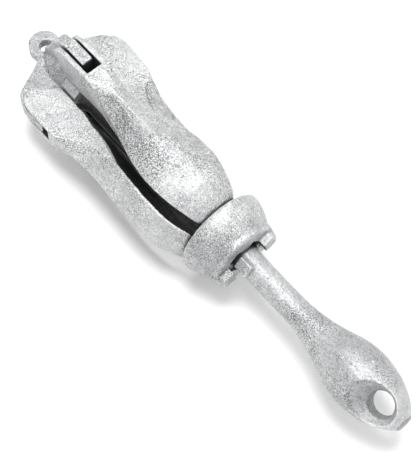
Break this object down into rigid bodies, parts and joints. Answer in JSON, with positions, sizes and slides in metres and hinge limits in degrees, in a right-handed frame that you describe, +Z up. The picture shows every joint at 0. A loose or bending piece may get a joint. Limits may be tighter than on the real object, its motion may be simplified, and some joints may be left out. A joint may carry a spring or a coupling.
{
  "type": "folding grapnel anchor",
  "caption": "Folding grapnel boat anchor, folded: shank casting with rope eye and trip ring, spoon-palmed flukes on clevis pivots, and a sliding dome collar that locks the fluke tips.",
  "frame": {"origin": "centre of the bounding box, on the shank's axis", "axes": "+X along the shank from the crown to the rope eye, +Z up through the top fluke, +Y through the right fluke"},
  "size_m": [0.31, 0.0712, 0.0712],
  "materials": {
    "galvanised_casting": "hot-dip galvanised, rough mottled casting",
    "galvanised_pin": "galvanised steel pin, ends flush"
  },
  "bodies": {
    "shank": {"shank_casting": "galvanised_casting"},
    "collar": {"locking_collar": "galvanised_casting"},
    "fluke_top_body": {"fluke_top": "galvanised_casting", "pivot_pin_top": "galvanised_pin"},
    "fluke_left_body": {"fluke_left": "galvanised_casting", "pivot_pin_left": "galvanised_pin"},
    "fluke_bottom_body": {"fluke_bottom": "galvanised_casting", "pivot_pin_bottom": "galvanised_pin"},
    "fluke_right_body": {"fluke_right": "galvanised_casting", "pivot_pin_right": "galvanised_pin"}
  },
  "joints": [
    {"name": "collar_slide", "type": "slide", "parent": "shank", "child": "collar", "axis": [1, 0, 0], "range_m": [-0.003, 0.04]},
    {"name": "fluke_top_hinge", "type": "hinge", "parent": "shank", "child": "fluke_top_body", "pos_m": [-0.1125, 0, 0.0245], "axis": [0, -1, 0], "range_deg": [0, 98]},
    {"name": "fluke_left_hinge", "type": "hinge", "parent": "shank", "child": "fluke_left_body", "pos_m": [-0.1125, -0.0245, 0], "axis": [0, 0, -1], "range_deg": [0, 98]},
    {"name": "fluke_bottom_hinge", "type": "hinge", "parent": "shank", "child": "fluke_bottom_body", "pos_m": [-0.1125, 0, -0.0245], "axis": [0, 1, 0], "range_deg": [0, 98]},
    {"name": "fluke_right_hinge", "type": "hinge", "parent": "shank", "child": "fluke_right_body", "pos_m": [-0.1125, 0.0245, 0], "axis": [0, 0, 1], "range_deg": [0, 102.5]}
  ]
}
